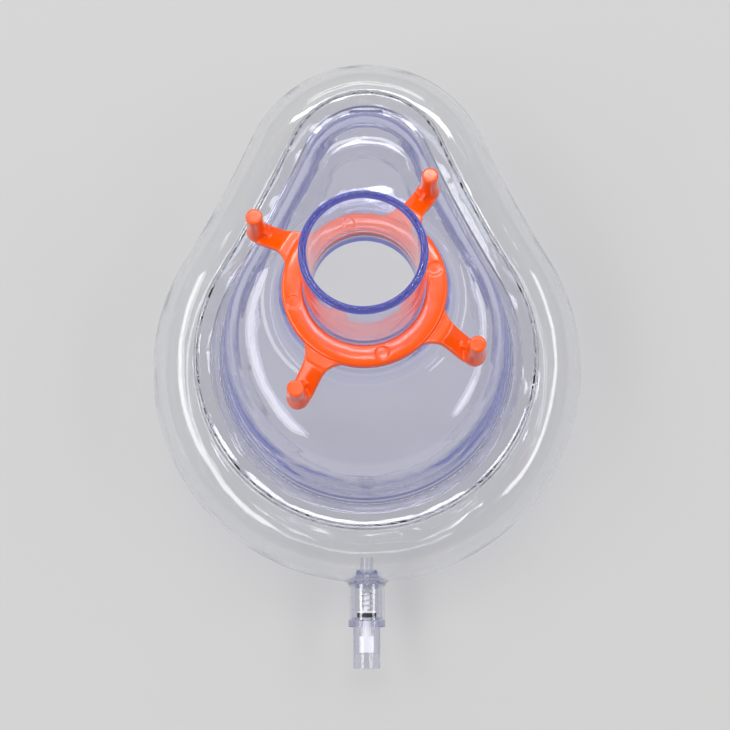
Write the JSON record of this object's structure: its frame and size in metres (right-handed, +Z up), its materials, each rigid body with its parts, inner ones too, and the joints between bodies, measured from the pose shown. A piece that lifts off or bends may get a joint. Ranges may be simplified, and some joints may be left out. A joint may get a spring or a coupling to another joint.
{
  "type": "anesthesia face mask",
  "caption": "Clear face mask with an inflatable cushion, a domed shell with a tilted round connector, a turning hook ring for a head strap and a sprung inflation valve.",
  "frame": {"origin": "on the table under the middle of the whole mask, which lies on its cushion", "axes": "+X across the face, +Y from the chin to the nose, +Z up, from the face to the connector"},
  "size_m": [0.1054, 0.15, 0.0852],
  "materials": {
    "shell": "clear moulded plastic with a faint violet tint",
    "cushion": "soft clear blown plastic",
    "hook_ring": "bright orange moulded plastic",
    "valve_housing": "clear moulded plastic with a faint violet tint",
    "valve_retainer": "clear moulded plastic",
    "valve_plunger": "white moulded plastic",
    "valve_seal": "black rubber",
    "valve_spring": "bright spring wire"
  },
  "bodies": {
    "mask": {"shell": "shell", "cushion": "cushion", "valve_housing": "valve_housing", "valve_retainer": "valve_retainer", "valve_spring": "valve_spring"},
    "hook_ring": {"hook_ring": "hook_ring"},
    "valve_plunger": {"valve_plunger": "valve_plunger", "valve_seal": "valve_seal"}
  },
  "joints": [
    {"name": "hook_ring_swivel", "type": "hinge", "parent": "mask", "child": "hook_ring", "pos_m": [0, 0.0069, 0.0606], "axis": [0, 0.1045, 0.9945], "continuous": true},
    {"name": "valve_plunger_slide", "type": "slide", "parent": "mask", "child": "valve_plunger", "axis": [0, 1, 0], "range_m": [0, 0.002], "stiffness_N_per_m": 300, "springref_m": -0.0013, "deforming": ["valve_spring"]}
  ]
}
